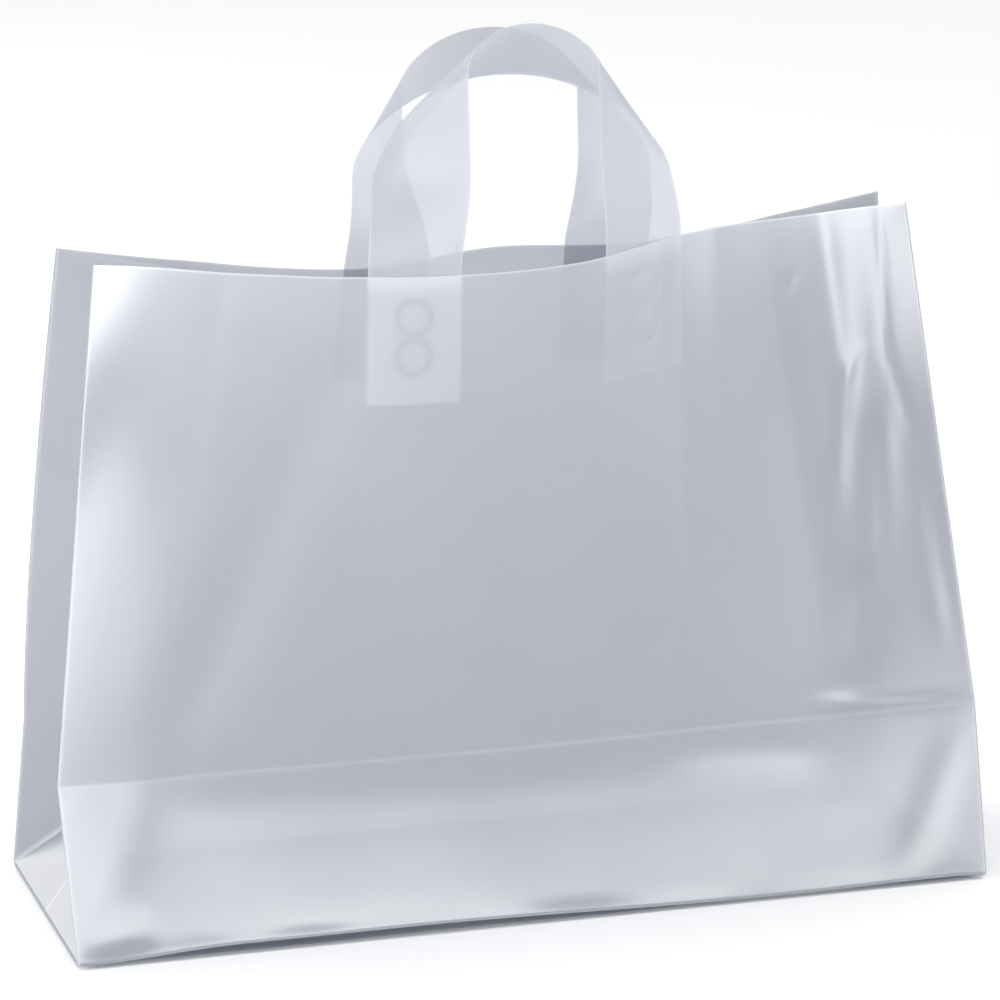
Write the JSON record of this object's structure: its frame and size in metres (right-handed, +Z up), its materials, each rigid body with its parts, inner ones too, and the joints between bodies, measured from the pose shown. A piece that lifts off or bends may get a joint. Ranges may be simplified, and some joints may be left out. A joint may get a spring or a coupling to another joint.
{
  "type": "plastic carrier bag",
  "caption": "Frosted translucent film carrier bag standing open on its square bottom, with pleated side gussets and soft film loop handles welded inside the front and back panels.",
  "frame": {"origin": "centre of the underside of the square bottom, on the surface the bag stands on", "axes": "+Z up, -Y towards the front panel, +X along the width to the right of someone facing the front"},
  "size_m": [0.4095, 0.1979, 0.395],
  "materials": {
    "bag_film": "frosted translucent polyethylene film, soft sheen",
    "handle_film": "frosted translucent polyethylene film strip, soft sheen"
  },
  "bodies": {
    "root": {"bag_body": "bag_film", "front_handle": "handle_film", "back_handle": "handle_film"}
  },
  "joints": []
}
